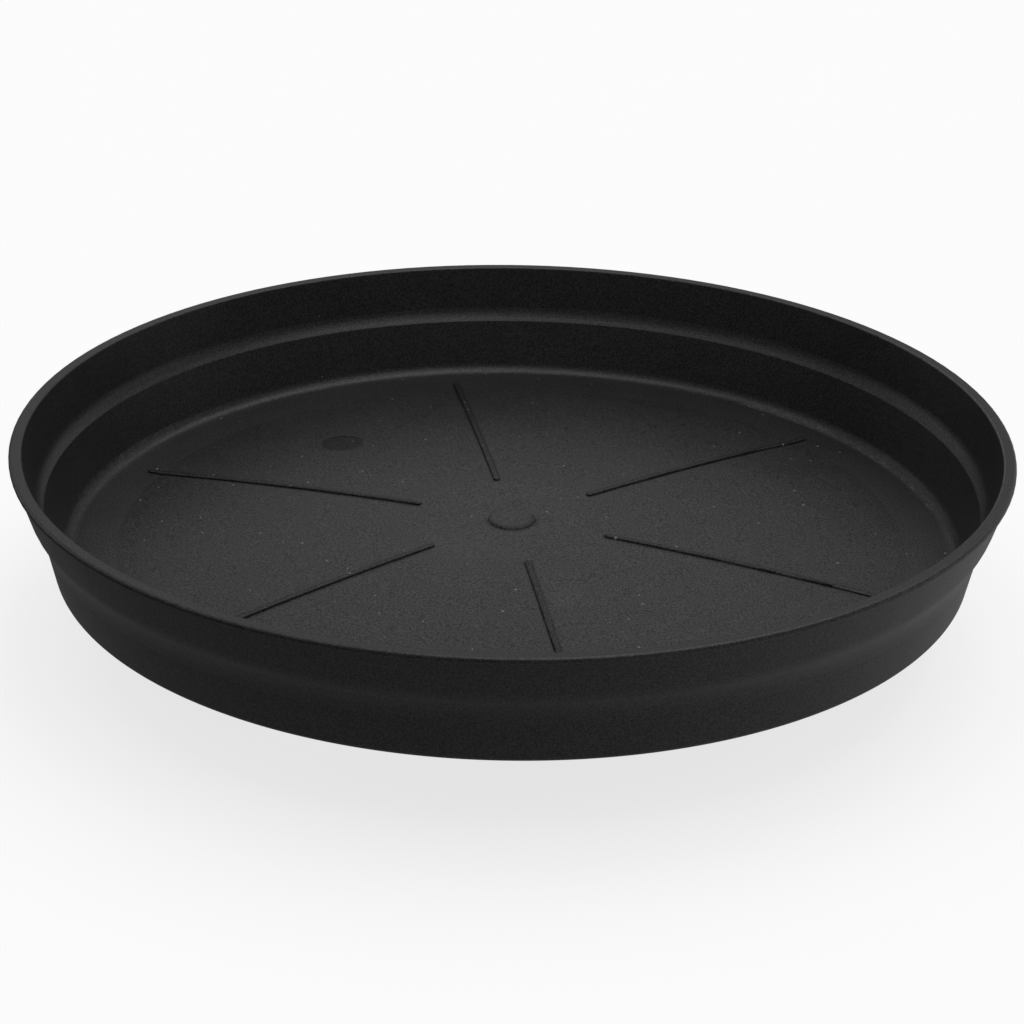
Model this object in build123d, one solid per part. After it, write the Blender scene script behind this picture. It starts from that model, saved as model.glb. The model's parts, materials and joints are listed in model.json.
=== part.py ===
from build123d import *
import math
import os

os.makedirs("parts", exist_ok=True)

# Plant pot caddy: a round moulded tray on four small twin-wheel castors.
# Millimetres, +Z up. Origin: on the ground under the centre of the tray.
# -Y is the front, -X the left. One floor rib of the tray points to +Y.

# Tray, main sizes
RIM_R = 190.0            # outside radius of the lip
TRAY_H = 46.3            # base plane to rim top
CLEAR = 31.0             # ground to the tray's base plane
TOP = CLEAR + TRAY_H     # height of the rim top above the ground
FLOOR_T = 2.3            # floor thickness

# Tray section corners: (radius, depth below the rim top, rounding),
# up the inside from the floor, over the lip and down the outside
WALL_SECTION = [
    (171.8, TRAY_H - FLOOR_T, 5.0),    # floor corner
    (178.1, 22.4, 0.5),                # crisp edge of the inner ledge
    (181.1, 19.3, 8.0),                # concave corner where the ledge starts
    (185.2, 0.0, 0.7),                 # inner edge of the lip's flat top
    (RIM_R, 0.0, 1.2),
    (RIM_R, 2.0, 0.6),                 # foot of the lip's outer face
    (188.8, 2.35, 0.3),                # outside of the wall just under the lip
    (184.1, 17.8, 18.0),               # outer shoulder of the stacking step
    (179.8, 25.3, 28.0),               # foot of the stacking step
    (175.2, TRAY_H, 2.6),              # base corner
]

# Crowned floor and the flat disc in its middle
DOME_R = 152.0           # the floor is crowned inside this radius
DOME_PEAK_Z = TOP - 37.35
DOME_DROP = 6.68         # fall of the crown from its peak to DOME_R
SPHERE_R = (DOME_R ** 2 + DOME_DROP ** 2) / (2 * DOME_DROP)
PLATEAU_R = 38.0
PLATEAU_Z = TOP - 37.75
PLATEAU_EDGE = (PLATEAU_R - 0.6, PLATEAU_R + 0.4)    # slope from disc up to crown

# Details on the floor
RIB_IN, RIB_OUT = PLATEAU_R, 158.2
RIB_W, RIB_H = 2.8, 0.9
RIB_SINK = 1.2           # the ribs reach this far into the crown
RIB_ROUND = 0.8
BUTTON_R, BUTTON_H = 9.85, 0.7
BUTTON_SINK, BUTTON_ROUND = 0.6, 1.2
MARK_D, MARK_DEPTH, MARK_R, MARK_AZ = 17.6, 0.15, 106.5, 122.2    # round mould mark

# Underside of the tray
CASTOR_R = 118.0         # radius of the swivel axes
CASTOR_AZ = {"front_left": 225.0, "front_right": 315.0, "rear_left": 135.0, "rear_right": 45.0}
BITE = 0.8               # everything below is sunk this far into the floor
STIFF_T = 2.0            # stiffener thickness
STIFF_Z = CLEAR + 0.4    # lower edge of the stiffeners
PAIR_L, PAIR_OFFSET = 70.0, 9.0    # paired stiffeners towards each castor
CROSS_OUT = DOME_R - 6   # outer end of the single stiffeners
CUT_H = 60.0             # stiffener height before trimming
SEAT_Z = CLEAR - 3.5     # plane the castor plates sit on
PAD, PAD_WALL = 45.0, 2.0          # square pocket round each plate
PAD_ROUND_OUT, PAD_ROUND_IN = 7.0, 5.5
PAD_Z = SEAT_Z - 1.0     # lower edge of the pocket wall
PAD_H = 14.0             # pocket height before trimming
COLLAR_R, COLLAR_WALL = 8.8, 2.0   # collar round the kingpin's head
BRACE_T = 1.8
BRACE_L, BRACE_MID = 12.6, 14.4    # straight braces from collar to pocket wall
BOSS_D, PILOT_D, PILOT_L = 7.6, 2.6, 5.0

# Castor plate, its screws and the kingpin
PLATE, PLATE_T, PLATE_C = 40.0, 1.5, 5.0
PLATE_Z = SEAT_Z - PLATE_T         # underside of the plate
HOLE_PITCH, HOLE_D = 30.0, 3.4
SCREW_L, HEAD_D, HEAD_H = 6.2, 5.6, 1.5
PIN_R = 2.5              # kingpin shank
PIN_TOP_R, PIN_TOP_H = 4.5, 1.2
PIN_FOOT_R, PIN_FOOT_H = 3.6, 1.8
PIN_FOOT_Z = 15.2        # underside of the kingpin's foot
PIN_FOOT_TOP = PIN_FOOT_Z + PIN_FOOT_H

# Wheels and housing
RUN = 0.05               # running clearance, radial, and axial at the washer
WHEEL_R, WHEEL_W = 11.0, 7.0
CORE_R = 9.0
WHEEL_IN = 5.25          # inner face of each wheel from the castor's middle
WHEEL_OUT = WHEEL_IN + WHEEL_W
TRAIL = 8.0              # axle behind the swivel axis
AXLE_Z = WHEEL_R
AXLE_R = 1.5
AXLE_HALF = WHEEL_OUT - 0.2
CAP_BORE = 1.2           # depth of the axle's hole in each cap
CAP_X = AXLE_HALF - CAP_BORE       # inner face of each cap
CAP_SEAT = CAP_X - 0.15  # bottom of the recess round the cap
HOOD_IN = WHEEL_R + 0.75
HOOD_OUT = HOOD_IN + 1.55
HOOD_HALF = 12.7
WEB_HALF = 5.0
TURRET_R = 8.0
WASHER_T, WASHER_R = 0.9, 7.5
TURRET_TOP = PLATE_Z - WASHER_T - 2 * RUN
THROUGH = 30.0           # half length of cutters along X

# Four screw positions about a castor's axis
HOLES = [Pos(x * HOLE_PITCH / 2, y * HOLE_PITCH / 2, 0) for x in (-1, 1) for y in (-1, 1)]

# Ridge that keys tyre and core together: (radius, distance along the axle, rounding)
KEY = [
    (CORE_R, WHEEL_IN + 2.5, 0), (CORE_R + 0.7, WHEEL_IN + 2.9, 0),
    (CORE_R + 0.7, WHEEL_IN + 4.1, 0), (CORE_R, WHEEL_IN + 4.5, 0),
]

# Side views of the housing: (y, z)
HOOD_KEEP = [
    (TRAIL - 20, AXLE_Z - 1.5), (TRAIL - 20, AXLE_Z + 30), (TRAIL + 20, AXLE_Z + 30),
    (TRAIL + 20, AXLE_Z - 3.5), (TRAIL, AXLE_Z - 1.0),
]
WEB_OUTLINE = [
    (-5.4, PIN_FOOT_Z - 1.6), (4.9, PIN_FOOT_Z - 1.6),
    (TRAIL - 2.6, AXLE_Z - 3.4), (TRAIL - 1.6, AXLE_Z - 4.2),
    (TRAIL + 1.6, AXLE_Z - 4.2), (TRAIL + 2.6, AXLE_Z - 3.4),
    (TRAIL + 8.6, AXLE_Z + 2.6), (TRAIL + 11.9, AXLE_Z + 6), (TRAIL + 11.9, AXLE_Z + 20),
    (-TURRET_R - 1, AXLE_Z + 20), (-TURRET_R - 1, AXLE_Z + 6),
]


# ---------------------------------------------------------------------------
# Helpers
# ---------------------------------------------------------------------------
def corner_arc(before, corner, after, radius):
    """Start, middle and end of the arc that rounds a corner between its neighbours."""
    tip = Vector(corner[0], corner[1])
    back = Vector(before[0], before[1]) - tip
    ahead = Vector(after[0], after[1]) - tip
    half = math.radians(back.get_angle(ahead)) / 2
    reach = radius / math.tan(half)
    assert reach < back.length and reach < ahead.length, (before, corner, after)
    back, ahead = back.normalized(), ahead.normalized()
    middle = tip + (back + ahead).normalized() * (radius / math.sin(half) - radius)
    return tip + back * reach, middle, tip + ahead * reach


def rounded(points):
    """Closed face in the XY plane from (x, y, rounding) corners. A fourth entry is a
    point on the arc that leads from the corner before to this one."""
    edges, ends = [], []
    for i, point in enumerate(points):
        if point[2] > 0:
            after = points[(i + 1) % len(points)]
            start, middle, end = corner_arc(points[i - 1], point, after, point[2])
            edges.append(ThreePointArc(start, middle, end))
            ends.append((start, end))
        else:
            tip = Vector(point[0], point[1])
            ends.append((tip, tip))
    for i, point in enumerate(points):
        start, end = ends[i - 1][1], ends[i][0]
        if len(point) > 3:
            edges.append(ThreePointArc(start, point[3], end))
        elif (end - start).length > 1e-6:
            edges.append(Line(start, end))
    return make_face(edges)


def lathe(points):
    """Solid of revolution about Z from (radius, height, rounding) corners."""
    return revolve(Plane.XZ * rounded(points), Axis.Z, 360)


def dome(r):
    """Height above the ground of the crowned floor's top at radius r."""
    return DOME_PEAK_Z - SPHERE_R + math.sqrt(SPHERE_R ** 2 - r ** 2)


def crown(start_r, end_r, shift):
    """Section corner at end_r, reached by an arc along the crown from start_r."""
    mid_r = (start_r + end_r) / 2
    return (end_r, dome(end_r) + shift, 0, (mid_r, dome(mid_r) + shift))


def at(az, r=0.0, z=0.0):
    """Location at radius r and azimuth az, local +X pointing outwards."""
    angle = math.radians(az)
    return Location((r * math.cos(angle), r * math.sin(angle), z), (0, 0, az))


def upright(radius, z0, z1):
    """Cylinder on the Z axis from z0 to z1."""
    return Pos(0, 0, (z0 + z1) / 2) * Cylinder(radius, z1 - z0)


def on_axle(radius, half):
    """Cylinder along X, centred on the castor's axle."""
    return Pos(0, TRAIL, AXLE_Z) * Rot(0, 90, 0) * Cylinder(radius, 2 * half)


def to_side(side, shape, x=0.0):
    """Lay a lathed shape on the axle, its +Z outwards to side -1 (left) or 1 (right)."""
    return Pos(side * x, TRAIL, AXLE_Z) * Rot(0, 90 * side, 0) * shape


# ---------------------------------------------------------------------------
# Tray
# ---------------------------------------------------------------------------
def make_shell():
    edge_in, edge_out = PLATEAU_EDGE
    points = [(0, PLATEAU_Z, 0), (edge_in, PLATEAU_Z, 0), (edge_out, dome(edge_out), 0)]
    points += [crown(edge_out, DOME_R, 0)]
    points += [(r, TOP - depth, rounding) for r, depth, rounding in WALL_SECTION]
    points += [(DOME_R, dome(DOME_R) - FLOOR_T, 0), crown(DOME_R, 0, -FLOOR_T)]
    return lathe(points)


def make_rib():
    """Floor rib along +X: its top follows the crown and its upper edges are softened."""
    bar = extrude(SlotOverall(RIB_OUT - RIB_IN, RIB_W), amount=20)
    bar = Pos((RIB_IN + RIB_OUT) / 2, 0, CLEAR - 2) * bar
    start, bend, end = RIB_IN - 3, DOME_R - 1, RIB_OUT + 3
    band = Plane.XZ * rounded([
        (start, dome(start) - RIB_SINK, 0), (start, dome(start) + RIB_H, 0),
        crown(start, bend, RIB_H),
        (end, dome(DOME_R) + RIB_H, 0), (end, dome(DOME_R) - RIB_SINK, 0),
        (bend, dome(bend) - RIB_SINK, 0), crown(bend, start, -RIB_SINK)])
    bar = bar & extrude(band, amount=5, both=True)
    top_edges = [edge for edge in bar.edges()
                 if edge.center().Z > dome(min(edge.center().X, DOME_R)) + RIB_H - 0.25]
    return fillet(top_edges, RIB_ROUND)


def make_button():
    foot, top = PLATEAU_Z - BUTTON_SINK, PLATEAU_Z + BUTTON_H
    return lathe([(0, foot, 0), (BUTTON_R, foot, 0),
                  (BUTTON_R - BUTTON_ROUND, top, BUTTON_ROUND), (0, top, 0)])


def make_mark():
    """Cutter for the mould mark, square to the crowned floor."""
    tilt = math.degrees(math.asin(MARK_R / SPHERE_R))
    cutter = Rot(0, tilt, 0) * Pos(0, 0, 5 - MARK_DEPTH) * Cylinder(MARK_D / 2, 10)
    return at(MARK_AZ, MARK_R, dome(MARK_R)) * cutter


def under_space(radius, z):
    """Space from height z up into the crowned floor, to trim what hangs below it."""
    sink = BITE - FLOOR_T
    return lathe([(0, z, 0), (radius, z, 0), (radius, dome(radius) + sink, 0),
                  crown(radius, 0, sink)])


def ring(r):
    return Cylinder(r + STIFF_T / 2, CUT_H) - Cylinder(r - STIFF_T / 2, CUT_H)


def make_stiffeners():
    """Two rings, a radial pair towards each castor and four single radial walls."""
    web = ring(PLATEAU_R) + ring(CASTOR_R)
    pair_mid = PLATEAU_R - STIFF_T / 2 + PAIR_L / 2
    for az in CASTOR_AZ.values():
        for side in (-1, 1):
            wall = Pos(pair_mid, side * PAIR_OFFSET, 0) * Box(PAIR_L, STIFF_T, CUT_H)
            web += at(az) * wall
    for az in (0, 90, 180, 270):
        wall = Box(CROSS_OUT - PLATEAU_R, STIFF_T, CUT_H)
        web += at(az) * (Pos((PLATEAU_R + CROSS_OUT) / 2, 0, 0) * wall)
    return Pos(0, 0, TOP / 2) * web


def make_pad():
    """Castor seat about the Z axis: pocket wall, collar, screw bosses and braces."""
    pocket = PAD - 2 * PAD_WALL
    wall = extrude(RectangleRounded(PAD, PAD, PAD_ROUND_OUT)
                   - RectangleRounded(pocket, pocket, PAD_ROUND_IN), amount=PAD_H)
    wall = Pos(0, 0, PAD_Z) * wall
    inner = Cylinder(COLLAR_R, PAD_H) - Cylinder(COLLAR_R - COLLAR_WALL, PAD_H)
    for hole in HOLES:
        inner += hole * Cylinder(BOSS_D / 2, PAD_H)
    for turn in (45, 135):
        diagonal = Box(HOLE_PITCH * math.sqrt(2) - 1, BRACE_T, PAD_H)
        inner += Rot(0, 0, turn) * (diagonal - Cylinder(7.6, 20))
    for side in (-1, 1):
        inner += (Pos(side * BRACE_MID, 0, 0) * Box(BRACE_L, BRACE_T, PAD_H)
                  + Pos(0, side * BRACE_MID, 0) * Box(BRACE_T, BRACE_L, PAD_H))
    return wall + Pos(0, 0, SEAT_Z + PAD_H / 2) * inner


def make_tray():
    tray = make_shell()
    rib = make_rib()
    for az in range(30, 360, 60):
        tray += at(az) * rib
    tray += make_button()
    tray -= make_mark()
    tray += make_stiffeners() & under_space(DOME_R, STIFF_Z)
    pad, pad_space = make_pad(), under_space(DOME_R + 2, PAD_Z)
    for az in CASTOR_AZ.values():
        tray += (at(az, CASTOR_R) * pad) & pad_space
    pilot = upright(PILOT_D / 2, SEAT_Z, SEAT_Z + PILOT_L)
    for az in CASTOR_AZ.values():
        for hole in HOLES:
            tray -= at(az, CASTOR_R) * hole * pilot
    return tray


# ---------------------------------------------------------------------------
# Castor, modelled at the origin: swivel axis on Z, axle behind it at +Y
# ---------------------------------------------------------------------------
def make_plate():
    plate = extrude(RectangleRounded(PLATE, PLATE, PLATE_C), amount=PLATE_T)
    plate = chamfer(plate.edges().group_by(Axis.Z)[0], 0.3)
    for hole in HOLES:
        plate -= hole * Cylinder(HOLE_D / 2, 10)
    plate -= Cylinder(PIN_R, 10)
    return Pos(0, 0, PLATE_Z) * plate


def make_kingpin():
    head_top = SEAT_Z + PIN_TOP_H
    return lathe([
        (0, PIN_FOOT_Z, 0), (PIN_FOOT_R, PIN_FOOT_Z, 0.4), (PIN_FOOT_R, PIN_FOOT_TOP, 0.2),
        (PIN_R, PIN_FOOT_TOP, 0), (PIN_R, SEAT_Z, 0), (PIN_TOP_R, SEAT_Z, 0),
        (PIN_TOP_R - 0.6, head_top, 0.5), (0, head_top, 0)])


def make_washer():
    bore = PIN_R + 0.08
    bottom = TURRET_TOP + RUN
    top = bottom + WASHER_T
    return lathe([(bore, bottom, 0), (WASHER_R, bottom, 0.25), (WASHER_R, top, 0.25),
                  (bore, top, 0)])


def make_housing():
    # the hood covers the top of the wheels and stops short of the ground
    hood = on_axle(HOOD_OUT, HOOD_HALF)
    hood = fillet(hood.edges(), 1.1)
    hood -= on_axle(HOOD_IN, HOOD_HALF + 1)
    keep = Plane.YZ * make_face(Polyline(HOOD_KEEP, close=True))
    hood = hood & extrude(keep, amount=40, both=True)
    # turret under the plate, stopped where the wheels turn
    turret = upright(TURRET_R, AXLE_Z, TURRET_TOP)
    turret = chamfer(turret.edges().group_by(Axis.Z)[-1], 0.5)
    turret -= on_axle(HOOD_IN, THROUGH)
    # middle web between the wheels, carrying the kingpin and the axle
    web_face = Plane.YZ * make_face(Polyline(WEB_OUTLINE, close=True))
    web = extrude(web_face, amount=WEB_HALF, both=True)
    keep_web = on_axle(HOOD_IN + 0.4, THROUGH) + upright(TURRET_R - 0.2, 12.5, TURRET_TOP - 0.5)
    web = web & keep_web
    housing = hood + turret + web
    housing -= Cylinder(PIN_R + RUN, 80)
    housing -= upright(PIN_FOOT_R + 0.3, 0, PIN_FOOT_TOP + 0.1)
    housing -= on_axle(AXLE_R, THROUGH)
    return housing


def make_axle():
    axle = on_axle(AXLE_R, AXLE_HALF)
    return chamfer(axle.edges(), 0.3)


def make_caps():
    """Two domed push-on caps that hold the wheels on the axle."""
    caps = []
    for side in (-1, 1):
        cap = lathe([(0, 0.0, 0), (3.1, 0.0, 0.3), (2.5, 1.9, 0.9), (0, 2.1, 0)])
        cap -= Pos(0, 0, CAP_BORE / 2) * Cylinder(AXLE_R, CAP_BORE + 0.0001)
        caps.append(to_side(side, cap, CAP_X))
    return Compound(children=caps)


def make_core(side):
    """Wheel core with a dished outer face."""
    bore = AXLE_R + RUN
    dish = WHEEL_OUT - 1.3
    core = lathe([
        (bore, WHEEL_IN - 0.1, 0), (3.4, WHEEL_IN - 0.1, 0), (3.4, WHEEL_IN + 0.3, 0),
        (CORE_R - 1.6, WHEEL_IN + 0.3, 0), (CORE_R - 1.6, WHEEL_IN, 0), (CORE_R, WHEEL_IN, 0),
        *KEY,
        (CORE_R, WHEEL_OUT, 0), (CORE_R - 1.5, WHEEL_OUT, 0.3), (CORE_R - 2.1, dish, 0.3),
        (4.6, dish, 0.3), (4.3, WHEEL_OUT - 0.3, 0.2), (3.6, WHEEL_OUT - 0.3, 0.1),
        (3.6, CAP_SEAT, 0), (bore, CAP_SEAT, 0)])
    # five shallow windows between the spokes, on the outer face
    for i in range(5):
        core -= Pos(0, 0, dish) * Rot(0, 0, 72 * i) * (Pos(5.95, 0, 0) * Box(1.5, 3.4, 1.6))
    return to_side(side, core)


def make_tyre(side):
    tyre = lathe([
        (CORE_R, WHEEL_IN, 0), (WHEEL_R - 0.35, WHEEL_IN + 0.15, 0.6),
        (WHEEL_R, WHEEL_IN + 2.2, 2.5), (WHEEL_R, WHEEL_OUT - 2.2, 2.5),
        (WHEEL_R - 0.35, WHEEL_OUT - 0.15, 0.6), (CORE_R, WHEEL_OUT, 0),
        *reversed(KEY)])
    return to_side(side, tyre)


# ---------------------------------------------------------------------------
# Pan-head screws holding the plates
# ---------------------------------------------------------------------------
def make_screw():
    head_z, tip_z = PLATE_Z - HEAD_H, PLATE_Z + SCREW_L
    screw = lathe([
        (0, head_z, 0), (HEAD_D / 2 - 0.5, head_z, 0.45), (HEAD_D / 2, head_z + 0.8, 0.3),
        (HEAD_D / 2, PLATE_Z, 0), (PILOT_D / 2, PLATE_Z, 0), (PILOT_D / 2, tip_z - 0.8, 0),
        (0.4, tip_z, 0), (0, tip_z, 0)])
    for turn in (0, 90):    # cross recess
        screw -= Pos(0, 0, head_z + 0.35) * Rot(0, 0, turn) * Box(3.0, 0.6, 1.1)
    return screw


def make_screws():
    """All sixteen screws, each stopped at a different turn."""
    screw = make_screw()
    screws = []
    for az in CASTOR_AZ.values():
        for hole in HOLES:
            turn = 17 + 31 * len(screws)
            screws.append(at(az, CASTOR_R) * hole * Rot(0, 0, turn) * screw)
    return Compound(children=screws)


export_step(make_tray(), "parts/tray.step")

castor = {
    "plate": make_plate(), "kingpin": make_kingpin(), "washer": make_washer(),
    "housing": make_housing(), "axle": make_axle(), "axle_caps": make_caps(),
    "left_wheel": make_core(-1), "left_tyre": make_tyre(-1),
    "right_wheel": make_core(1), "right_tyre": make_tyre(1),
}
for spot, az in CASTOR_AZ.items():
    # plates sit square to the radius, the other parts trail to the rear
    square = at(az, CASTOR_R)
    trailing = Location(square.position, (0, 0, 0))
    for name, shape in castor.items():
        place = square if name == "plate" else trailing
        export_step(place * shape, f"parts/{spot}_castor_{name}.step")

export_step(make_screws(), "parts/castor_screws.step")
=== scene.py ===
"""A round black plastic tray on castors, on a white studio floor.

Metres, +Z up. The tray's axis is the Z axis and the floor is z = 0.
The camera stands on the -Y side, so +X is to its right.
"""

import json
import math

import bpy
from mathutils import Euler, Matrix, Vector


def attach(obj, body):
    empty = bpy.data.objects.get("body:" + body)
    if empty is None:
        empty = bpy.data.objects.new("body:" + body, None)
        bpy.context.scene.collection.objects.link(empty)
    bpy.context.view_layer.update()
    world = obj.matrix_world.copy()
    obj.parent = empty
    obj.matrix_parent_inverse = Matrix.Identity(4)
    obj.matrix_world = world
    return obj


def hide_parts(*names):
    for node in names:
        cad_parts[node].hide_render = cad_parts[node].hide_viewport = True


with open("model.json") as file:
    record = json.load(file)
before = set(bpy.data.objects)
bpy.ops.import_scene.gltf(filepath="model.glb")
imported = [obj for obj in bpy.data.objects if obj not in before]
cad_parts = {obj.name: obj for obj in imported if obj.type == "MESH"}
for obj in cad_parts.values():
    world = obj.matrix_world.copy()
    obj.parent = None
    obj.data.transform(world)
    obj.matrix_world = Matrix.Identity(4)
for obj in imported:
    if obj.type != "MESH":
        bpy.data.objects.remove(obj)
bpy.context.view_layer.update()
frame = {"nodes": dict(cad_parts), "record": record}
nodes = frame["nodes"]

# ---------------------------------------------------------------------------
# Node helpers
# ---------------------------------------------------------------------------
FALLING = (1.0, 0.0)     # output range of a mask that fades out


class Tree:
    """A material's node tree; most methods add a node and return its output."""

    def __init__(self, name):
        self.material = bpy.data.materials.new(name)
        self.material.use_nodes = True
        self.tree = self.material.node_tree
        self.tree.nodes.clear()
        self.coord = self.node("ShaderNodeTexCoord").outputs["Object"]

    def node(self, kind, inputs=None, **settings):
        """Adds a node; inputs maps socket names or indices to values or other sockets."""
        node = self.tree.nodes.new(kind)
        for name, value in settings.items():
            setattr(node, name, value)
        for key, value in (inputs or {}).items():
            if isinstance(value, bpy.types.NodeSocket):
                self.tree.links.new(value, node.inputs[key])
            else:
                node.inputs[key].default_value = value
        return node

    def maths(self, operation, a, b=0.0, clamp=False):
        inputs = {0: a, 1: b, 2: 0.0}
        return self.node("ShaderNodeMath", inputs, operation=operation, use_clamp=clamp).outputs[0]

    def add(self, a, b):
        return self.maths("ADD", a, b)

    def subtract(self, a, b, clamp=False):
        return self.maths("SUBTRACT", a, b, clamp)

    def multiply(self, product, *factors):
        for factor in factors:
            product = self.maths("MULTIPLY", product, factor)
        return product

    def weigh(self, *terms, base=None):
        """base + value * weight + ... for (value, weight) terms."""
        for value, weight in terms:
            part = self.multiply(value, weight)
            base = part if base is None else self.add(base, part)
        return base

    def length(self, a, b):
        return self.maths("SQRT", self.add(self.multiply(a, a), self.multiply(b, b)))

    def span(self, value, over, to=(0.0, 1.0)):
        """Maps the range over to the range to, clamped."""
        inputs = dict(enumerate((value, *over, *to)))
        return self.node("ShaderNodeMapRange", inputs, clamp=True).outputs[0]

    def mapped(self, scale=(1, 1, 1), turn=0, shift=(0, 0, 0)):
        """Object coordinates scaled, turned about Z by radians, and shifted."""
        return self.node("ShaderNodeMapping", {
            "Vector": self.coord, "Scale": scale, "Rotation": (0, 0, turn), "Location": shift,
        }).outputs[0]

    def noise(self, scale, detail=3.0, rough=0.5, distortion=0.0, vector=None):
        return self.node("ShaderNodeTexNoise", {
            "Vector": self.coord if vector is None else vector,
            "Scale": scale, "Detail": detail, "Roughness": rough, "Distortion": distortion,
        }).outputs["Fac"]

    def cells(self, scale, dimensions="3D"):
        """Voronoi cells: the distance to the centre, and three random values per cell."""
        cell = self.node("ShaderNodeTexVoronoi", {"Vector": self.coord, "Scale": scale},
                         voronoi_dimensions=dimensions)
        lots = self.node("ShaderNodeSeparateColor", {"Color": cell.outputs["Color"]})
        return cell.outputs["Distance"], lots.outputs

    def axes(self, vector):
        return self.node("ShaderNodeSeparateXYZ", {0: vector}).outputs

    def geometry(self, output):
        return self.node("ShaderNodeNewGeometry").outputs[output]

    def mix(self, factor, low, high):
        """The colour low at factor 0 and high at factor 1."""
        inputs = {0: factor}
        for socket, colour in ((6, low), (7, high)):
            inputs[socket] = (*colour, 1.0) if isinstance(colour, tuple) else colour
        return self.node("ShaderNodeMix", inputs, data_type="RGBA").outputs[2]

    def coat(self, colour, paint, *amounts):
        """Lays paint over colour, as strongly as the product of the masks and amounts."""
        return self.mix(self.multiply(*amounts), colour, paint)

    def scale(self, colour, factor):
        inputs = {0: colour, "Scale": factor}
        return self.node("ShaderNodeVectorMath", inputs, operation="SCALE").outputs[0]

    def edge(self, radius):
        """About 1 on sharp convex or concave edges, 0 on flats."""
        bevel = self.node("ShaderNodeBevel", {"Radius": radius}, samples=6)
        inputs = {0: bevel.outputs[0], 1: self.geometry("Normal")}
        dot = self.node("ShaderNodeVectorMath", inputs, operation="DOT_PRODUCT")
        return self.span(self.subtract(1.0, dot.outputs["Value"]), over=(0.02, 0.35))

    def bump(self, height, distance, strength=1.0, normal=None):
        inputs = {"Height": height, "Distance": distance, "Strength": strength}
        if normal is not None:
            inputs["Normal"] = normal
        return self.node("ShaderNodeBump", inputs).outputs[0]

    def mix_shader(self, factor, low, high):
        return self.node("ShaderNodeMixShader", {0: factor, 1: low, 2: high}).outputs[0]

    def output(self, shader):
        self.node("ShaderNodeOutputMaterial", {0: shader})
        return self.material

    def finish(self, inputs):
        return self.output(self.node("ShaderNodeBsdfPrincipled", inputs).outputs[0])


# ---------------------------------------------------------------------------
# Black plastics
# ---------------------------------------------------------------------------
def shade(colour, gain, lift=0.0):
    return tuple(channel * gain + lift for channel in colour)


def rub_marks(m):
    """Short scratches in two directions, only in patches."""
    across = m.noise(scale=1.0, detail=2.0, rough=0.6, distortion=0.6,
                     vector=m.mapped(scale=(34, 900, 220), turn=0.6))
    along = m.noise(scale=1.0, detail=2.0, rough=0.6, distortion=0.8,
                    vector=m.mapped(scale=(760, 30, 200), turn=0.25, shift=(3, 1, 0)))
    lines = m.maths("MAXIMUM", m.span(across, over=(0.67, 0.74)), m.span(along, over=(0.69, 0.76)))
    patches = m.noise(scale=16.0, detail=2.0, vector=m.mapped(shift=(5, 2, 1)))
    return m.multiply(lines, m.span(patches, over=(0.5, 0.68)))


def black_moulding(name, base, roughness, grain, dust, scuff, speckle=0.0, wear=0.5):
    """Black moulded plastic: matte grain, faint flow, dust specks, rub marks.

    grain is the bump depth; dust, scuff, speckle and wear are strengths.
    Returns the tree and the inputs for its Principled shader.
    """
    m = Tree(name)
    broad = m.noise(scale=9.0, rough=0.55)
    mid = m.noise(scale=60.0, detail=4.0, rough=0.6)
    fine = m.noise(scale=1500.0, detail=2.0, rough=0.6)
    micro = m.noise(scale=3600.0, detail=2.0, rough=0.7)
    tone = m.weigh((broad, 0.35), (mid, 0.3), (fine, 0.35))
    colour = m.mix(m.span(tone, over=(0.3, 0.7)), low=shade(base, 0.72), high=shade(base, 1.35))

    # the speckle varies both the colour and the shine
    shine = 0.5
    if speckle:
        grit = m.noise(scale=1500.0, detail=1.0, vector=m.mapped(shift=(1, 4, 2)))
        level = m.span(grit, over=(0.36, 0.64), to=(1.0 - speckle, 1.0 + speckle))
        colour = m.scale(colour, level)
        shine = m.span(grit, over=(0.36, 0.64), to=(0.5 - 0.19 * speckle, 0.5 + 0.19 * speckle))

    lines = rub_marks(m)
    colour = m.coat(colour, shade(base, 4, 0.03), lines, scuff)

    # worn edges turn a little greyer and shinier
    patches = m.span(m.noise(scale=240.0, rough=0.6), over=(0.35, 0.65), to=(0.25, 1.0))
    worn = m.multiply(m.edge(radius=0.0009), patches)
    colour = m.coat(colour, shade(base, 2.4, 0.006), worn, wear)

    # sparse pale dust specks
    distance, lots = m.cells(scale=120.0)
    dot = m.span(distance, over=(0.03, 0.055), to=FALLING)
    pick = m.maths("GREATER_THAN", lots[0], 0.955)
    colour = m.coat(colour, (0.28, 0.27, 0.25), dot, pick, dust)

    rough = m.weigh((mid, 0.1), (m.subtract(broad, 0.5), 0.08), base=roughness - 0.07)
    normal = m.bump(m.weigh((fine, 0.6), (micro, 0.4)), distance=grain)
    flow = m.subtract(broad, m.multiply(lines, 0.08))
    return m, {
        "Base Color": colour,
        "Roughness": m.subtract(rough, m.multiply(worn, 0.1), clamp=True),
        "Normal": m.bump(flow, distance=0.0001, strength=0.3, normal=normal),
        "Specular IOR Level": shine,
    }


# Tray places: x, y of round marks on its floor, and radii from its axis
MOULD_MARK = (-0.0568, 0.0901)
PALE_PATCH = (-0.024, -0.022)
PALE_STAIN = (0.0095, -0.0673)
LIP_INNER_RADIUS = 0.1854
RIB_COUNT = 6
FIRST_RIB = 30.0         # degrees from +X


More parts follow.
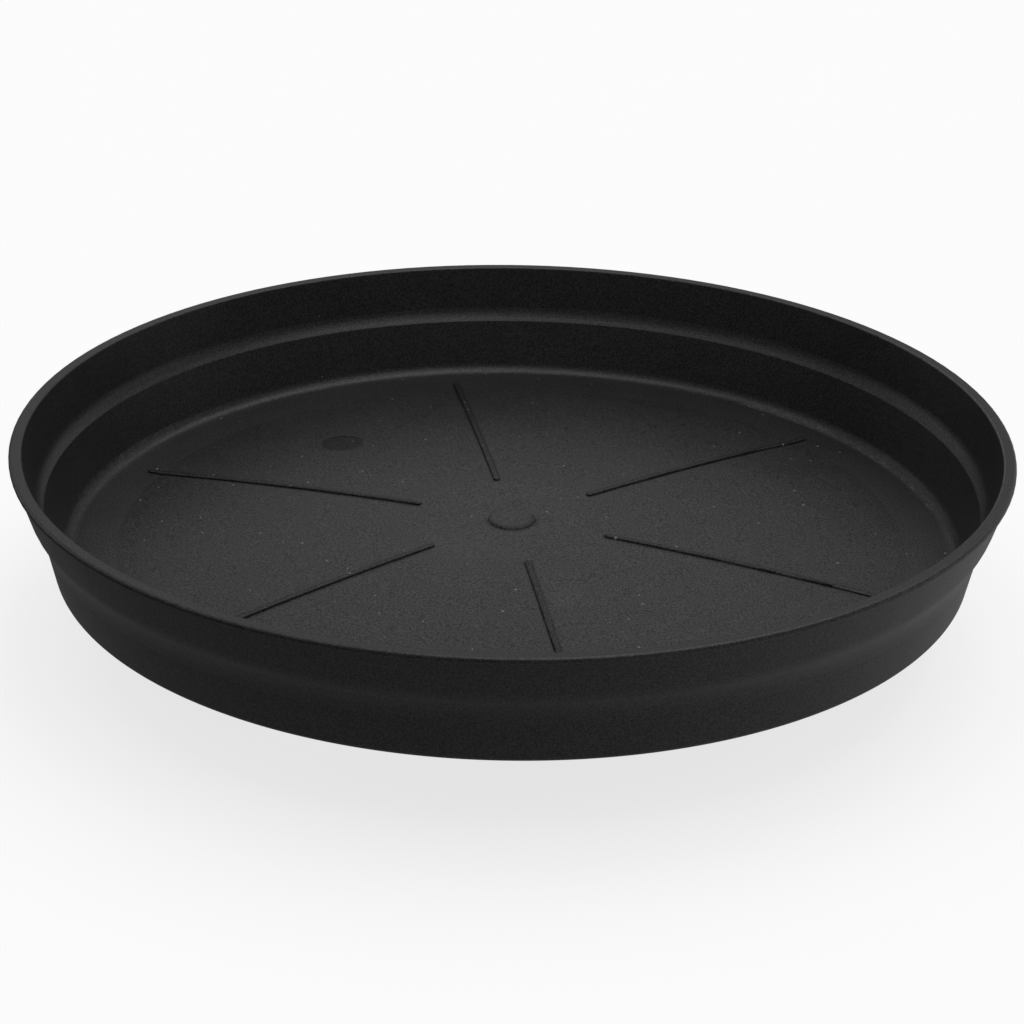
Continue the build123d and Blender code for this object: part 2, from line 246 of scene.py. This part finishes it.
def tray_floor_mask(m, radius, height):
    """1 on the upper side of the tray's floor, 0 on its walls and underside."""
    above = m.span(height, over=(0.0325, 0.0331))
    below = m.span(height, over=(0.0480, 0.0500), to=FALLING)
    within = m.span(radius, over=(0.1670, 0.1715), to=FALLING)
    upward = m.span(m.axes(m.geometry("Normal"))[2], over=(-0.3, -0.1))
    return m.multiply(above, below, within, upward)


def tray_rib_shade_mask(m, x, y, radius):
    """Painted shade on the floor's six ribs and on the edge of its central button, strongest on
    the -Y side.
    """
    angle = m.add(m.maths("ARCTAN2", y, x), math.radians(360.0 - FIRST_RIB))
    fold = m.maths("PINGPONG", angle, math.radians(180.0 / RIB_COUNT))
    from_rib = m.multiply(radius, m.maths("SINE", fold))
    rib_start = m.span(radius, over=(0.0370, 0.0380))
    rib_end = m.span(radius, over=(0.1580, 0.1595), to=FALLING)
    rib = m.multiply(m.span(from_rib, over=(0.0010, 0.0025), to=FALLING),
                     m.multiply(rib_start, rib_end))
    ring = m.multiply(m.span(radius, over=(0.0058, 0.0086), to=(0.0, 1.45)),
                      m.span(radius, over=(0.0094, 0.0112), to=FALLING))
    # painted shade: the button's edge is darkened most on its -Y side, which faces away from the
    # light
    near = m.span(y, over=(-0.0030, 0.0040), to=(1.0, 0.1))
    return m.maths("MAXIMUM", rib, m.multiply(ring, near))


def tray_lip_glint_mask(m, x, height, radius):
    """Painted highlight: a pale line along the lip's inner edge, most of all on the +X side."""
    from_edge = m.maths("ABSOLUTE", m.subtract(radius, LIP_INNER_RADIUS))
    return m.multiply(
        m.span(from_edge, over=(0.00012, 0.00050), to=FALLING),
        m.span(height, over=(0.0764, 0.0768)),
        m.span(x, over=(0.120, 0.172), to=(0.04, 1.0)),
        m.span(m.noise(scale=210.0, rough=0.7), over=(0.38, 0.60), to=(0.25, 1.0)))


def mat_tray():
    """Fine even grain, a dark mould mark, a painted highlight on the centre, a pale patch, one
    pale stain, a few specks.
    """
    m, look = black_moulding("tray_black_plastic", base=(0.0178, 0.0180, 0.0183), roughness=0.40,
                             grain=0.00008, dust=0.55, scuff=0.05, speckle=0.80, wear=0.18)
    x, y, z = m.axes(m.coord)

    def disc(centre, fade):
        """1 within fade[0] of the vertical axis through centre, 0 beyond fade[1]."""
        away_x = m.subtract(x, centre[0])
        away_y = m.multiply(m.subtract(y, centre[1]), 1.0)  # a factor of 1 keeps the disc round
        return m.span(m.length(away_x, away_y), over=fade, to=FALLING)

    radius = m.length(x, y)
    on_floor = tray_floor_mask(m, radius, z)
    wobble = m.noise(scale=120.0, rough=0.6)
    crumbs = m.noise(scale=520.0, rough=0.7, vector=m.mapped(shift=(4, 4, 1)))
    mark = m.multiply(disc(MOULD_MARK, fade=(0.0080, 0.0093)),
                      m.span(crumbs, over=(0.25, 0.55), to=(1.0, 0.75)), on_floor)
    # painted highlight: a lighter disc at the centre of the domed floor
    centre = disc((0.0, 0.0), fade=(0.028, 0.044))
    # a paler patch on the floor, left of the centre toward -Y
    pale_patch = m.multiply(disc(PALE_PATCH, fade=(0.004, 0.026)),
                        m.span(wobble, over=(0.35, 0.65), to=(0.5, 1.0)))
    stain = m.multiply(disc(PALE_STAIN, fade=(0.003, 0.0115)),
                       m.span(crumbs, over=(0.42, 0.62), to=(0.05, 1.0)))
    painted_rib_shade = tray_rib_shade_mask(m, x, y, radius)

    # pale specks lying on the floor
    distance, lots = m.cells(scale=135.0, dimensions="2D")
    size = m.span(lots[1], over=(0.0, 1.0), to=(0.036, 0.074))
    spot = m.multiply(m.maths("LESS_THAN", distance, size),
                      m.maths("GREATER_THAN", lots[0], 0.925))

    # the colour: lighter toward the axis, a painted highlight of the domed floor's sheen, then
    # each mark in turn
    glow = m.span(radius, over=(0.050, 0.150), to=(1.37, 0.89))
    colour = m.scale(look["Base Color"], glow)
    # the centre's share of lift is painted highlight; the pale patch and the stain are pale marks
    lift = m.add(m.multiply(centre, 0.06), m.weigh((pale_patch, 0.17), (stain, 0.40)))
    colour = m.coat(colour, (0.075, 0.075, 0.075), lift, on_floor)
    # painted shade: the ribs and the button's edge are darkened
    colour = m.coat(colour, (0.0045, 0.0045, 0.0047), painted_rib_shade, 0.40, on_floor)
    colour = m.coat(colour, (0.0040, 0.0040, 0.0042), mark, 0.72)
    colour = m.coat(colour, (0.26, 0.26, 0.25), spot, on_floor, 0.80)
    # painted highlight along the lip's inner edge
    lip_glint = tray_lip_glint_mask(m, x, z, radius)
    look["Base Color"] = m.coat(colour, (0.150, 0.146, 0.118), lip_glint, 0.55)

    # the grain shows more on the floor than on the walls; the mark and the painted rib and button
    # shade shine less
    grain = m.multiply(m.subtract(look["Specular IOR Level"], 0.5),
                       m.span(on_floor, over=(0.0, 1.0), to=(0.25, 1.0)))
    mark_dull_and_rib_shade = m.maths("MAXIMUM", m.multiply(mark, 0.28),
                   m.multiply(m.multiply(painted_rib_shade, on_floor), 0.30))
    look["Specular IOR Level"] = m.multiply(m.add(0.5, grain), m.subtract(1.0, mark_dull_and_rib_shade))
    look["Roughness"] = m.subtract(look["Roughness"], m.multiply(mark, 0.06), clamp=True)
    return m.finish(look)


def mat_hood():
    m, look = black_moulding("castor_black_nylon", base=(0.016, 0.016, 0.017), roughness=0.42,
                             grain=0.00003, dust=0.2, scuff=0.3)
    return m.finish(look)


def mat_wheel():
    m, look = black_moulding("wheel_dark_nylon", base=(0.03, 0.03, 0.032), roughness=0.4,
                             grain=0.00002, dust=0.3, scuff=0.35)
    return m.finish(look)


# ---------------------------------------------------------------------------
# Other materials
# ---------------------------------------------------------------------------
def mat_tyre():
    """Grey soft tyre: matte, with patchy dust on the tread."""
    m = Tree("tyre_grey_rubber")
    grit = m.noise(scale=900.0, detail=4.0, rough=0.65)
    patch = m.noise(scale=140.0, rough=0.6)
    sideways = m.maths("ABSOLUTE", m.axes(m.geometry("Normal"))[0])
    tread = m.span(sideways, over=(0.25, 0.75), to=FALLING)
    rubber = m.mix(grit, low=(0.100, 0.102, 0.105), high=(0.160, 0.162, 0.165))
    dust = m.multiply(tread, m.span(patch, over=(0.4, 0.62), to=(0.1, 0.7)),
                      m.span(grit, over=(0.4, 0.6), to=(0.4, 1.0)))
    return m.finish({
        "Base Color": m.mix(dust, low=rubber, high=(0.27, 0.25, 0.225)),
        "Roughness": m.weigh((dust, 0.2), base=0.72),
        "Normal": m.bump(m.weigh((grit, 0.6), (patch, 0.6)), distance=0.00008),
        "Specular IOR Level": 0.4,
    })


def mat_zinc():
    """Zinc-plated pressed steel: faint rolling lines, cloudy passivation, brighter edges."""
    m = Tree("zinc_plated_steel")
    lines = m.noise(scale=1.0, rough=0.6, distortion=0.2,
                    vector=m.mapped(scale=(60, 2200, 600), turn=0.78))
    cloud = m.noise(scale=75.0, detail=4.0, rough=0.6, distortion=0.5)
    _, spangle = m.cells(scale=420.0)
    colour = m.mix(m.span(cloud, over=(0.35, 0.65)), low=(0.50, 0.50, 0.49),
                   high=(0.66, 0.67, 0.70))
    stain = m.span(m.noise(scale=130.0, rough=0.7, vector=m.mapped(shift=(2, 7, 3))),
                   over=(0.56, 0.72), to=(0, 0.6))
    colour = m.mix(stain, low=colour, high=(0.30, 0.27, 0.22))
    return m.finish({
        "Base Color": m.coat(colour, (0.80, 0.80, 0.81), m.edge(radius=0.0005), 0.6),
        "Metallic": 1.0,
        "Roughness": m.weigh((lines, 0.16), (spangle[1], 0.06), (stain, 0.25), base=0.27),
        "Normal": m.bump(m.weigh((lines, 0.7), (cloud, 0.6)), distance=0.00003),
    })


def mat_pin():
    """Plain drawn steel with turning marks."""
    m = Tree("drawn_steel")
    turning = m.noise(scale=1.0, rough=0.6, distortion=0.1,
                      vector=m.mapped(scale=(300, 300, 2600)))
    cloud = m.noise(scale=200.0, rough=0.6)
    colour = m.mix(cloud, low=(0.36, 0.355, 0.35), high=(0.52, 0.52, 0.525))
    return m.finish({
        "Base Color": m.coat(colour, (0.68, 0.68, 0.69), m.edge(radius=0.0004), 0.5),
        "Metallic": 1.0,
        "Roughness": m.weigh((turning, 0.2), base=0.24),
        "Normal": m.bump(turning, distance=0.00002),
    })


def mat_nylon():
    """Natural nylon: milky, slightly translucent, with dirt in patches."""
    m = Tree("natural_nylon")
    cloud = m.noise(scale=220.0)
    colour = m.mix(cloud, low=(0.60, 0.58, 0.52), high=(0.76, 0.74, 0.68))
    dirt = m.span(m.noise(scale=420.0, detail=4.0, rough=0.7), over=(0.56, 0.72), to=(0, 0.5))
    return m.finish({
        "Base Color": m.mix(dirt, low=colour, high=(0.22, 0.20, 0.17)),
        "Roughness": m.weigh((cloud, 0.15), base=0.34),
        "Normal": m.bump(m.noise(scale=1600.0, detail=2.0), distance=0.00002),
        "Subsurface Weight": 0.25,
        "Subsurface Radius": (0.001, 0.0009, 0.0007),
    })


MATERIALS = {
    "tray_plastic": mat_tray(),
    "hood_plastic": mat_hood(),
    "wheel_plastic": mat_wheel(),
    "tyre_rubber": mat_tyre(),
    "nylon": mat_nylon(),
    "zinc_steel": mat_zinc(),
    "pin_steel": mat_pin(),
}
slot_of = {part["node"]: part["material_slot"] for part in frame["record"]["subparts"]}
for name, obj in nodes.items():
    obj.data.materials.clear()
    obj.data.materials.append(MATERIALS[slot_of[name]])
    for face in obj.data.polygons:
        face.use_smooth = True

# ---------------------------------------------------------------------------
# The tray's shell: the CAD surface, with its rounded base corner meshed in even rings
# ---------------------------------------------------------------------------
CORNER_RADIUS = 0.0026
CORNER_RINGS, CORNER_STEPS = 9, 256
CORNER_INSIDE = 0.1729   # the corner lies farther than this from the axis
CORNER_HEIGHT = 0.0022   # and no higher than this above its lowest point
LEVEL_TOLERANCE = 2e-6   # heights this close count as equal
ARC_TOLERANCE = 2e-5     # allowed misfit of the corner's top to its arc
MIN_RIM_POINTS = 40
TURN = 2 * math.pi


def zip_rings(low, high, faces):
    """Joins two rings of (angle, vertex) pairs, sorted by angle, with outward triangles."""
    def angle_at(ring, step):
        return ring[step % len(ring)][0] + TURN * (step // len(ring))

    # start the upper ring at the angle nearest the lower ring's first
    start = min(range(len(high)), key=lambda k: abs(high[k][0] - low[0][0]))
    high = high[start:] + [(angle + TURN, vertex) for angle, vertex in high[:start]]
    low_count, high_count = len(low), len(high)
    i = j = 0
    while i < low_count or j < high_count:
        a, b = low[i % low_count][1], high[j % high_count][1]
        low_is_next = i < low_count and angle_at(low, i + 1) <= angle_at(high, j + 1)
        if j >= high_count or low_is_next:
            i += 1
            faces.append((a, low[i % low_count][1], b))
        else:
            j += 1
            faces.append((a, high[j % high_count][1], b))


def tray_shell(source):
    """Builds the shell object, or returns None if the base corner is not as expected."""
    mesh = source.data
    points = [tuple(vertex.co) for vertex in mesh.vertices]
    first_at = {}
    weld = [first_at.setdefault(tuple(round(c, 7) for c in point), i)
            for i, point in enumerate(points)]
    old_normals = [tuple(normal.vector) for normal in mesh.corner_normals]

    def axis_distance(i):
        return math.hypot(points[i][0], points[i][1])

    def azimuth(i):
        return math.atan2(points[i][1], points[i][0])

    outer = [i for i in range(len(points)) if axis_distance(i) > CORNER_INSIDE]
    base = min(points[i][2] for i in outer)
    corner = {i for i in outer if points[i][2] < base + CORNER_HEIGHT}
    top = max(points[i][2] for i in corner)

    # take out the corner's faces and note the vertices on its lower and upper rims
    faces, normals, low, high = [], [], set(), set()
    for face in mesh.polygons:
        heights = [points[i][2] for i in face.vertices]
        if (all(i in corner for i in face.vertices) and max(heights) > base + LEVEL_TOLERANCE
                and min(heights) < top - LEVEL_TOLERANCE):
            for i in face.vertices:
                if points[i][2] < base + LEVEL_TOLERANCE:
                    low.add(weld[i])
                elif points[i][2] > top - LEVEL_TOLERANCE:
                    high.add(weld[i])
        else:
            faces.append(tuple(weld[i] for i in face.vertices))
            normals.extend(old_normals[k] for k in face.loop_indices)
    low = sorted((azimuth(i) % TURN, i) for i in low)
    high = sorted((azimuth(i) % TURN, i) for i in high)
    if len(low) < MIN_RIM_POINTS or len(high) < MIN_RIM_POINTS:
        return None

    # the arc's centre, and its angle at the upper rim
    arc_r = sum(axis_distance(i) for _, i in low) / len(low)
    arc_z = base + CORNER_RADIUS
    high_r = sum(axis_distance(i) for _, i in high) / len(high)
    if abs(math.hypot(high_r - arc_r, top - arc_z) - CORNER_RADIUS) > ARC_TOLERANCE:
        return None
    last = math.atan2(top - arc_z, high_r - arc_r)

    # tilt holds each corner vertex's normal angle above the horizontal
    rings = [low]
    tilt = {i: -math.pi / 2 for _, i in low}
    tilt.update({i: last for _, i in high})
    for k in range(1, CORNER_RINGS):
        phi = -math.pi / 2 + (last + math.pi / 2) * k / CORNER_RINGS
        r = arc_r + CORNER_RADIUS * math.cos(phi)
        z = arc_z + CORNER_RADIUS * math.sin(phi)
        ring = []
        for step in range(CORNER_STEPS):
            angle = 2 * math.pi * step / CORNER_STEPS
            ring.append((angle, len(points)))
            tilt[len(points)] = phi
            points.append((r * math.cos(angle), r * math.sin(angle), z))
        rings.append(ring)
    rings.append(high)

    fresh = []
    for a, b in zip(rings, rings[1:]):
        if len(a) == len(b) == CORNER_STEPS:
            for i in range(CORNER_STEPS):
                j = (i + 1) % CORNER_STEPS
                fresh.append((a[i][1], a[j][1], b[j][1], b[i][1]))
        else:
            zip_rings(a, b, fresh)
    for face in fresh:
        for i in face:
            angle, level = azimuth(i), math.cos(tilt[i])
            normals.append((level * math.cos(angle), level * math.sin(angle), math.sin(tilt[i])))
    faces += fresh

    used = sorted({i for face in faces for i in face})
    index = {old: new for new, old in enumerate(used)}
    result = bpy.data.meshes.new("tray_shell")
    result.from_pydata([points[i] for i in used], [],
                       [tuple(index[i] for i in face) for face in faces])
    for face in result.polygons:
        face.use_smooth = True
    result.normals_split_custom_set(normals)
    result.materials.append(MATERIALS["tray_plastic"])
    obj = bpy.data.objects.new("tray_shell", result)
    bpy.context.scene.collection.objects.link(obj)
    return obj


# without a shell the CAD tray is shown as it is
shell = tray_shell(nodes["tray"])
if shell is not None:
    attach(shell, "tray")
    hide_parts("tray")

# ---------------------------------------------------------------------------
# Stage, light, camera
# ---------------------------------------------------------------------------
FLOOR_RADIUS = 7.0
FLOOR_BOUNCE = 0.235     # light the floor gives the tray
FLOOR_GLOW = 0.76        # light the camera sees on the floor
WORLD_LIGHT, WORLD_SEEN = 0.175, 0.965
PANEL_GAIN = 1.09
# elevation and azimuth from +X in degrees, strength
PANELS = (
    (60, 45, 0.401), (88, 0, 0.350), (60, 315, 0.227), (60, 180, 0.134), (12, 135, 0.107),
    (35, 90, 0.098), (60, 270, 0.092), (12, 0, 0.086), (60, 135, 0.085), (12, 45, 0.078),
)


def mat_floor():
    """Near white with a soft shadow to the camera; the tray gets only a weak bounce."""
    m = Tree("studio_floor_white")
    # the bounce grows toward +X
    bounce_level = m.span(m.axes(m.coord)[0], over=(-0.45, 0.45),
                          to=(0.1 * FLOOR_BOUNCE, 2.0 * FLOOR_BOUNCE))
    bounce = m.node("ShaderNodeEmission", {"Strength": bounce_level}).outputs[0]
    glow = m.node("ShaderNodeEmission", {"Strength": FLOOR_GLOW}).outputs[0]
    matte = m.node("ShaderNodeBsdfDiffuse", {"Color": (0.34, 0.34, 0.34, 1)}).outputs[0]
    seen = m.node("ShaderNodeAddShader", {0: glow, 1: matte}).outputs[0]
    camera_ray = m.node("ShaderNodeLightPath").outputs["Is Camera Ray"]
    upper = m.mix_shader(camera_ray, low=bounce, high=seen)
    # clear from below, so that the castors can be looked at
    clear = m.node("ShaderNodeBsdfTransparent").outputs[0]
    return m.output(m.mix_shader(m.geometry("Backfacing"), low=upper, high=clear))


def build_floor():
    bpy.ops.mesh.primitive_circle_add(vertices=96, radius=FLOOR_RADIUS, fill_type="NGON",
                                      location=(0, 0, 0))
    floor = bpy.context.object
    floor.name = "studio_floor"
    floor.data.materials.append(mat_floor())


def build_world(scene):
    """White all round: dim as a light, bright as a backdrop."""
    world = bpy.data.worlds.new("studio")
    scene.world = world
    world.use_nodes = True
    tree = world.node_tree
    background = tree.nodes["Background"]
    background.inputs["Color"].default_value = (1, 1, 1, 1)
    path = tree.nodes.new("ShaderNodeLightPath")
    level = tree.nodes.new("ShaderNodeMix")
    level.inputs[2].default_value = WORLD_LIGHT
    level.inputs[3].default_value = WORLD_SEEN
    tree.links.new(path.outputs["Is Camera Ray"], level.inputs[0])
    tree.links.new(level.outputs[0], background.inputs["Strength"])


def build_panel(scene, elevation, azimuth, strength):
    """A soft light like a wide disc of sky."""
    data = bpy.data.lights.new(f"panel_e{elevation}_a{azimuth}", "SUN")
    data.angle = math.radians(34 if elevation < 20 else 44)
    data.energy = PANEL_GAIN * strength
    lamp = bpy.data.objects.new(data.name, data)
    scene.collection.objects.link(lamp)
    up, around = math.radians(elevation), math.radians(azimuth)
    toward = Vector((math.cos(up) * math.cos(around), math.cos(up) * math.sin(around),
                     math.sin(up)))
    lamp.rotation_euler = toward.to_track_quat("Z", "Y").to_euler()


def build_camera(scene):
    data = bpy.data.cameras.new("camera")
    camera = bpy.data.objects.new("camera", data)
    scene.collection.objects.link(camera)
    scene.camera = camera
    data.sensor_width = 36.0
    data.lens = 98.50
    data.shift_y = -0.0005
    data.clip_start = 0.02
    data.clip_end = 50.0
    camera.location = (-0.15766, -0.97364, 0.49015)
    degrees = (65.61321561, -0.75075907, -8.8596631)
    camera.rotation_euler = Euler([math.radians(angle) for angle in degrees], "XYZ")


scene = bpy.context.scene
scene.view_settings.view_transform = "Standard"
scene.view_settings.look = "None"
scene.view_settings.exposure = 0.0
build_floor()
build_world(scene)
for panel in PANELS:
    build_panel(scene, *panel)
build_camera(scene)
